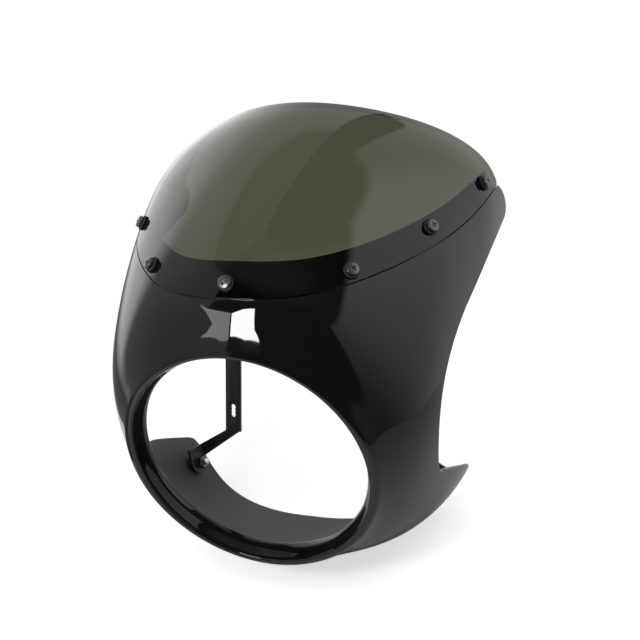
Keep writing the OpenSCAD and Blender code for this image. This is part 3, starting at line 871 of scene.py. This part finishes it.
# %% [markdown]
# The washer is moulded rubber with twenty ribs round it, which give a grip and
# let the rubber bulge when the screw is tightened. Here the ribs are a ripple
# of the outer radius, strongest half way up.

# %% Ribbed washers
def ribs(points):
    radius = np.hypot(points[..., 0], points[..., 1])
    angle = np.arctan2(points[..., 1], points[..., 0])
    outer = np.clip((radius - 5.0) / 0.9, 0, 1)
    ripple = np.clip(0.5 - 1.4 * np.cos(20 * angle), 0, 1)
    points[..., :2] *= (1 - 0.10 * outer * ripple)[..., None]
    return points


washer_profile = [(2.7, 0), (5.7, 0), (6.05, 0.12), (6.2, 0.45), (6.2, 1.2), (6.1, 1.6),
                  (5.75, 2.0), (5.2, 2.3), (4.7, 2.4), (2.7, 2.4), (2.7, 1.2), (2.7, 0)]
washer_shape = turned(washer_profile, 160, ribs)
seat("screen_washers", washer_shape, skin(spots_t, spots_a, 0), facings, MM, MM,
     ribbed_rubber, "rubber", [f"screen_washer_{i}" for i in range(1, 8)])

# %% [markdown]
# A nut is a hexagon whose corners are cut back by a cone. Six points would give
# bare corners, so it is spun like the rest: the radius follows the hexagon, and
# the height drops where the radius passes the flats.

# %% Nuts
def hexagon(flats, height):
    def reshape(points):
        radius = np.hypot(points[..., 0], points[..., 1])
        angle = np.arctan2(points[..., 1], points[..., 0])
        corner = 1 / np.cos((angle + math.pi / 6) % (math.pi / 3) - math.pi / 6)
        grown = np.where(radius > flats * 0.42, corner, 1)
        points[..., :2] *= grown[..., None]
        over = np.clip(radius * grown - flats / 2, 0, None) * 0.55
        points[..., 2] = np.clip(points[..., 2], over, height - over)
        return points
    return reshape


def nut_shape(flats, height, bore):
    half = flats / 2
    side = [(half, z) for z in np.linspace(0, height, 9)]
    profile = ([(bore, 0.15), (bore + 0.15, 0), (flats * 0.43, 0)] + side
               + [(flats * 0.43, height), (bore + 0.35, height), (bore, height - 0.35),
                  (bore, 0.15)])
    return turned(profile, 144, hexagon(flats, height))


# The flange is curved, so the flat nuts stand a little behind it
GRIP = STEP_DEPTH + COWL_WALL
NUT_H, NUT_GAP = 4, 0.58
seat("screen_nuts", nut_shape(8, NUT_H, SHANK_R),
     skin(spots_t, spots_a, GRIP + (NUT_H + NUT_GAP) * MM), facings, MM, MM,
     blackened_steel, "dark_screw", [f"screen_nut_{i}" for i in range(1, 8)],
     spread=math.pi / 3, seed=5)

# %% [markdown]
# Each bracket stands on a stud that is moulded into a boss, under a plain
# washer and a nut. They come in pairs, mirrored across the middle, so the same
# seating tree is given two spots.

# %% Studs, plain washers and nuts
def pair(lift):
    spot = mount_base + mount_axis * lift
    return [spot, spot * [-1, 1, 1]], [mount_axis, mount_axis * [-1, 1, 1]]


STRIP_T = 2.5 * MM
PLAIN_T = 1.2 * MM
both = ["left", "right"]
stud_rows = [(3, z) for z in np.linspace(0.2, 17.6, 120)]
stud_shape = turned([(0, 0), (3, 0)] + stud_rows + [(2.5, 18), (0, 18)], 64,
                    lambda points: cut_thread(points, 1.0, 0.13, 0.5, 17.6))
seat("mount_studs", stud_shape, *pair(0), MM, MM,
     bright_zinc, "zinc", ["mount_stud_" + side for side in both])
plain_profile = [(3.2, 0.1), (3.3, 0), (5.8, 0), (6, 0.2), (6, 1.0), (5.8, 1.2), (3.3, 1.2),
                 (3.2, 1.1), (3.2, 0.1)]
seat("mount_washers", turned(plain_profile, 96), *pair(BOSS_H + STRIP_T), MM, MM,
     blackened_steel, "dark_screw", ["mount_washer_" + side for side in both])
seat("mount_nuts", nut_shape(10.02, 4.8, 3.0), *pair(BOSS_H + STRIP_T + PLAIN_T), MM, MM,
     blackened_steel, "dark_screw", ["mount_nut_" + side for side in both],
     spread=1.0, seed=3)

# %% [markdown]
# A bracket is one strip of steel, cut, folded twice and painted. Its CAD solid
# has the right shape but knife edges, so a copy is merged and given a small
# bevel, which the paint's gloss then draws as a bright line.

# %% Brackets
def softened_copy(node, name, width):
    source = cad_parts[node]
    piece = bpy.data.objects.new(name, source.data.copy())
    bpy.context.scene.collection.objects.link(piece)
    solid = bmesh.new()
    solid.from_mesh(piece.data)
    bmesh.ops.remove_doubles(solid, verts=solid.verts, dist=0.00001)
    bmesh.ops.dissolve_limit(solid, angle_limit=math.radians(1), verts=solid.verts,
                             edges=solid.edges)
    solid.to_mesh(piece.data)
    solid.free()
    piece.data.materials.clear()
    piece.data.materials.append(painted_steel)
    piece.data.polygons.foreach_set("use_smooth", [True] * len(piece.data.polygons))
    bevel = piece.modifiers.new("edges", "BEVEL")
    bevel.width, bevel.segments, bevel.limit_method = width, 3, "ANGLE"
    bevel.angle_limit = math.radians(35)
    bevel.harden_normals = True
    evaluated = piece.evaluated_get(bpy.context.evaluated_depsgraph_get())
    plain = bpy.data.meshes.new_from_object(evaluated)
    piece.modifiers.remove(bevel)
    piece.data = plain
    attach(piece, "root")
    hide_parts(node)
    print(name, "has", len(plain.polygons), "faces")


for side in both:
    softened_copy("bracket_" + side, "bracket_strip_" + side, 0.3 * MM)

# %% [markdown]
# Black plastic is lit by what it mirrors. The studio round the cowl has a white
# wall to the right, a dimmer one to the left, a bright one behind it and a dark
# gap in front where the camera stands. The walls are painted on the world by
# direction, which costs no geometry and no noise. A bearing of 0 is the front
# and 90 the right; bearings and heights are in degrees. What the camera sees
# behind the cowl, also through the screen, is plain white. What the cowl
# mirrors is the painted walls: white all round would turn it light grey.

# %% Studio walls
world = bpy.data.worlds.new("studio")
bpy.context.scene.world = world
world.use_nodes = True
world.node_tree.nodes.clear()
w = Recipe(world.node_tree)
x, y, z = w.parts_of(w.add("ShaderNodeTexCoord", out=0))
bearing = w.times(w.maths("ARCTAN2", x, w.times(y, -1.0)), math.degrees(1))
height = w.times(w.maths("ARCSINE", z), math.degrees(1))
# The right wall's near edge is a bow round height 22, with a faint frame before it
bow = w.maths("POWER", w.maths("SUBTRACT", height, 22), 2)
past_edge = w.maths("SUBTRACT", bearing, w.maths("MULTIPLY_ADD", bow, 0.0095, 51))
frame_of_wall = w.ramp(past_edge, -7, -6, 0, 0.05)
# Its top climbs to the rear and drops at the very end
wall_top = w.ramp(bearing, 58, 112, 40, 57.5, smooth=False)
wall_top = w.maths("SUBTRACT", wall_top, w.ramp(bearing, 156, 176, 0, 36))
under_top = w.ramp(w.maths("SUBTRACT", height, wall_top), 1.5, -1.5)
# It grows brighter to the rear and upwards, and dims again behind the cowl
shine = w.maths("MULTIPLY_ADD", bearing, 0.0125, -0.60)
shine = w.maths("MULTIPLY_ADD", height, 0.008, shine, clamp=True)
shine = w.times(w.maths("MAXIMUM", shine, 0.08), w.ramp(bearing, 118, 152, 1.1, 0.5))
right_wall = w.times(w.ramp(past_edge, -1, 1.5), under_top, shine)
# The left wall reaches further to the front near the floor
reach = w.maths("SUBTRACT", bearing, w.ramp(height, 25, 22, 0, 17))
left_wall = w.times(w.ramp(reach, -39, -42), w.ramp(height, 56, 46),
                    w.ramp(height, 8, 34, 0.34, 0.52))
# The wall behind it is bright near the floor, from a slanting edge on
rear_wall = w.times(w.ramp(w.maths("MULTIPLY_ADD", height, 0.75, bearing), -101, -114),
                    w.ramp(height, 0, 40, 1.15, 0.05), w.ramp(bearing, -178, -150, 0.35, 1.0))
left_wall = w.times(w.maths("ADD", left_wall, rear_wall), w.ramp(height, -20, -9))
left_wall = w.maths("MAXIMUM", left_wall, w.ramp(bearing, -50, -65, 0, 0.17))
ceiling = w.ramp(height, 44, 62, 0.045, w.ramp(bearing, 50, 100, 0.21, 0.08))
walls = w.maths("ADD", w.maths("ADD", right_wall, left_wall),
                w.maths("MAXIMUM", ceiling, frame_of_wall))
seen, _ = w.seen_through()
level = w.add("ShaderNodeMix", {"Factor": seen, "A": walls, "B": 1.0})
shown = w.add("ShaderNodeBackground", {"Color": (1, 1, 1, 1), "Strength": level})
w.join(shown, world.node_tree.nodes.new("ShaderNodeOutputWorld").inputs["Surface"])
print("studio walls painted on the world")

# %% [markdown]
# The window and its curtain are lit cloths that the brow of the cowl mirrors
# into the camera. Their corners are directions seen from the brow, because a
# mirror shows where a thing lies and not how far off it is. A weak soft box
# overhead fills the shadows; it is kept out of the mirror.

# %% Lamps
BROW = np.array([0.014, 0, 0.115])
CLOTH_AWAY = 0.45


def towards(bearing, height):
    b, h = math.radians(bearing), math.radians(height)
    return np.array([math.sin(b) * math.cos(h), -math.cos(b) * math.cos(h), math.sin(h)])


def cloth(name, corners, strength):
    """A lit cloth whose corners are given as bearing and height seen from the brow."""
    lit, r, surface = finish_named(name + "_light")
    r.join(r.add("ShaderNodeEmission", {"Color": (1, 1, 1, 1), "Strength": strength}), surface)
    points = [BROW + CLOTH_AWAY * towards(*corner) for corner in corners]
    piece = mesh_of(name, points, [range(len(points))], [lit])
    piece.visible_camera = False
    piece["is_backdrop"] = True


cloth("window", [(-26.5, 30.3), (-4.9, 38.2), (-8.1, 26.8), (-5.6, 25.2), (-15.2, 23.2),
                 (-24.9, 21.45)], 24.0)
cloth("curtain", [(-27.6, 30.3), (-43, 28.3), (-55, 26.8), (-44, 25.2), (-36.5, 22), (-39.7, 18.7),
                  (-43.4, 17.1), (-34.7, 19), (-26, 20.9)], 3.8)
box = bpy.data.lights.new("overhead", "AREA")
box.shape, box.size, box.size_y, box.energy = "RECTANGLE", 1.2, 1.2, 10
overhead = bpy.data.objects.new("overhead", box)
bpy.context.scene.collection.objects.link(overhead)
up = Vector(towards(20, 75))
overhead.matrix_world = (Matrix.Translation(Vector((0, 0.02, 0.11)) + up * 1.6)
                         @ up.to_track_quat("Z", "Y").to_matrix().to_4x4())
overhead.visible_glossy = False
print("lamps: window, curtain,", overhead.name)

# %% [markdown]
# The cowl stands on a white table. The table is lit like everything else and
# given a little light of its own for the rays that see it or mirror it, so
# that it meets the white behind it and still keeps the cowl's soft shadow.
# What mirrors it sees it dark near the cowl and brighter to the left and the
# rear. Its left rear corner is cut away, so that the bright wall behind is
# mirrored there.

# %% White table
TABLE_Z = cad_low[2] - 0.0002
TABLE_T = 0.01
table_turn = math.radians(24)
c, s = math.cos(table_turn), math.sin(table_turn)
table_corners = np.array([[-0.75, -0.62], [0.47, -0.62], [0.47, 0.60], [-0.26, 0.60],
                          [-0.26, -0.05], [-0.75, -0.05]]) @ np.array([[c, s], [-s, c]])
table_points = [[x, y, TABLE_Z - drop] for drop in (0, TABLE_T) for x, y in table_corners]
n = len(table_corners)
table_faces = [list(range(n)), list(range(2 * n - 1, n - 1, -1))]
table_faces += [[i, n + i, n + (i + 1) % n, (i + 1) % n] for i in range(n)]
white_table, r, surface = finish_named("white_table")
paper = r.add("ShaderNodeBsdfDiffuse", {"Color": (0.82, 0.82, 0.82, 1)})
seen, rays = r.seen_through()
place = r.add("ShaderNodeTexCoord", out=3)
x, y, z = r.parts_of(place)
away = r.add("ShaderNodeVectorMath", (place,), out=1, operation="LENGTH")
# The glow that mirrors see is painted light: none near the cowl, more to the left and the rear
glow = r.maths("MAXIMUM", r.ramp(x, 0.12, -0.2, 0, 0.55), r.ramp(y, 0.15, 0.4, 0, 0.6))
glow = r.times(glow, r.ramp(away, 0.2, 0.36))
own = r.maths("MULTIPLY_ADD", rays["Is Glossy Ray"], glow, r.times(seen, 0.62))
light = r.add("ShaderNodeEmission", {"Color": (1, 1, 1, 1), "Strength": own})
r.join(r.add("ShaderNodeAddShader", (paper, light)), surface)
mesh_of("white_table", table_points, table_faces, [white_table])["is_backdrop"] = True
print("table at height in mm:", round(TABLE_Z * 1000, 1))

# %% The size of the visual model
low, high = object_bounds()
print("visual box in mm:", [round(c * 1000, 1) for c in (*low, *high)])
